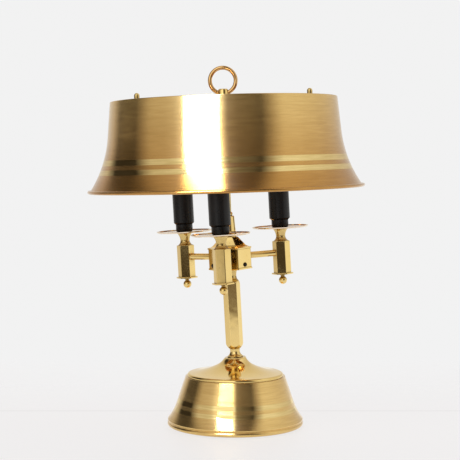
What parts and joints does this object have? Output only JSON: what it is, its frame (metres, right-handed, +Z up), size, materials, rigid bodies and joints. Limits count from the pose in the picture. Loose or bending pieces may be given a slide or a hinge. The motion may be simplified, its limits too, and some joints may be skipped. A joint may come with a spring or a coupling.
{
  "type": "bouillotte table lamp",
  "caption": "Brass bouillotte table lamp with candle arms on a hexagonal stem, a spun shade on a sliding rod and a ring finial.",
  "frame": {"origin": "centre of the foot, on the table", "axes": "+Z up, -Y towards the viewer and the front candle arm, +X to the viewer's right; the stem and hub lean 3.1 degrees towards -X, the rod 2.2 and the shade 1.7"},
  "size_m": [0.3875, 0.3876, 0.5054],
  "materials": {
    "polished_brass": "polished and lacquered brass, golden yellow with sharp reflections",
    "brushed_brass": "brass brushed round and round, with two narrow polished bands",
    "plated_steel": "zinc-plated steel fasteners, satin",
    "cast_iron": "grey cast iron, painted black",
    "felt": "dark green wool felt",
    "black_rubber": "black rubber grommet",
    "black_screws": "blackened steel screw heads, semi-gloss",
    "black_bakelite": "black moulded plastic, satin with soft long highlights",
    "white_plastic": "off-white moulded plastic",
    "ceramic": "unglazed off-white porcelain",
    "contact_brass": "plain pressed brass",
    "wire": "brown insulated lead"
  },
  "bodies": {
    "lamp": {"felt_pad": "felt", "base_weight": "cast_iron", "base_washer": "plated_steel", "base_nut": "plated_steel", "base_nipple": "polished_brass", "base_drum": "brushed_brass", "cord_bushing": "black_rubber", "base_cover": "polished_brass", "stem": "polished_brass", "hub_nipple": "polished_brass", "hub_floor": "polished_brass", "hub_nut": "plated_steel", "hub_body": "polished_brass", "hub_screws": "black_screws", "hub_roof": "polished_brass", "terminal_block": "white_plastic", "sleeve": "polished_brass", "sleeve_nut": "plated_steel", "arm_front": "polished_brass", "arm_right": "polished_brass", "arm_left": "polished_brass", "arm_nuts": "plated_steel", "arm_leads": "wire", "column_front": "polished_brass", "column_right": "polished_brass", "column_left": "polished_brass", "foot_plate_front": "polished_brass", "foot_plate_right": "polished_brass", "foot_plate_left": "polished_brass", "ball_finial_front": "polished_brass", "ball_finial_right": "polished_brass", "ball_finial_left": "polished_brass", "drip_pan_front": "polished_brass", "drip_pan_right": "polished_brass", "drip_pan_left": "polished_brass", "holder_nipples": "polished_brass", "holder_cap_front": "black_bakelite", "holder_cap_right": "black_bakelite", "holder_cap_left": "black_bakelite", "holder_sleeve_front": "black_bakelite", "holder_sleeve_right": "black_bakelite", "holder_sleeve_left": "black_bakelite", "contact_block_front": "ceramic", "contact_block_right": "ceramic", "contact_block_left": "ceramic", "thread_shell_front": "contact_brass", "thread_shell_right": "contact_brass", "thread_shell_left": "contact_brass"},
    "rod": {"rod": "polished_brass", "rod_collar": "polished_brass"},
    "shade": {"shade": "brushed_brass", "spider": "polished_brass", "spider_bolts": "plated_steel", "cap_nuts": "polished_brass"},
    "finial": {"ring_boss": "polished_brass", "ring": "polished_brass"},
    "collet": {"collet_nut": "polished_brass"}
  },
  "joints": [
    {"name": "rod_slide", "type": "slide", "parent": "lamp", "child": "rod", "axis": [-0.0384, 0, 0.9993], "range_m": [-0.01, 0.035]},
    {"name": "shade_turn", "type": "hinge", "parent": "rod", "child": "shade", "pos_m": [-0.01604, 0, 0.44462], "axis": [-0.0297, 0, 0.9996], "continuous": true},
    {"name": "finial_turn", "type": "hinge", "parent": "rod", "child": "finial", "pos_m": [-0.01714, 0, 0.4732], "axis": [-0.0384, 0, 0.9993], "continuous": true},
    {"name": "collet_turn", "type": "hinge", "parent": "lamp", "child": "collet", "pos_m": [-0.01032, 0, 0.29573], "axis": [-0.0384, 0, 0.9993], "range_deg": [0, 180]}
  ]
}
